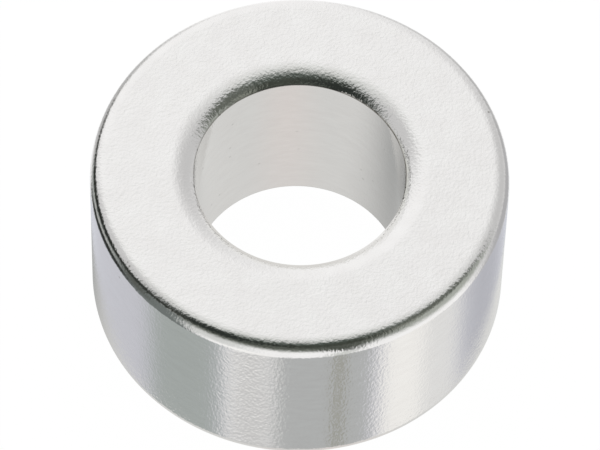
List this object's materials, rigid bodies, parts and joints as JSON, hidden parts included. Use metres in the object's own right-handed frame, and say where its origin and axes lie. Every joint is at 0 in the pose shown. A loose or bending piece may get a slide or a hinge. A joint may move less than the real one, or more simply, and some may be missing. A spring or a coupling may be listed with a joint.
{
  "type": "ring magnet",
  "caption": "Short thick-walled ring magnet with a straight through bore, rounded edges and a satin nickel finish.",
  "frame": {"origin": "middle of the lower face, on the bore axis", "axes": "+Z along the bore axis, from the lower face to the upper one; the ring is round, so +X and +Y are free"},
  "size_m": [0.02, 0.02, 0.0101],
  "materials": {
    "nickel_plating": "satin"
  },
  "bodies": {
    "root": {"ring_magnet": "nickel_plating"}
  },
  "joints": []
}
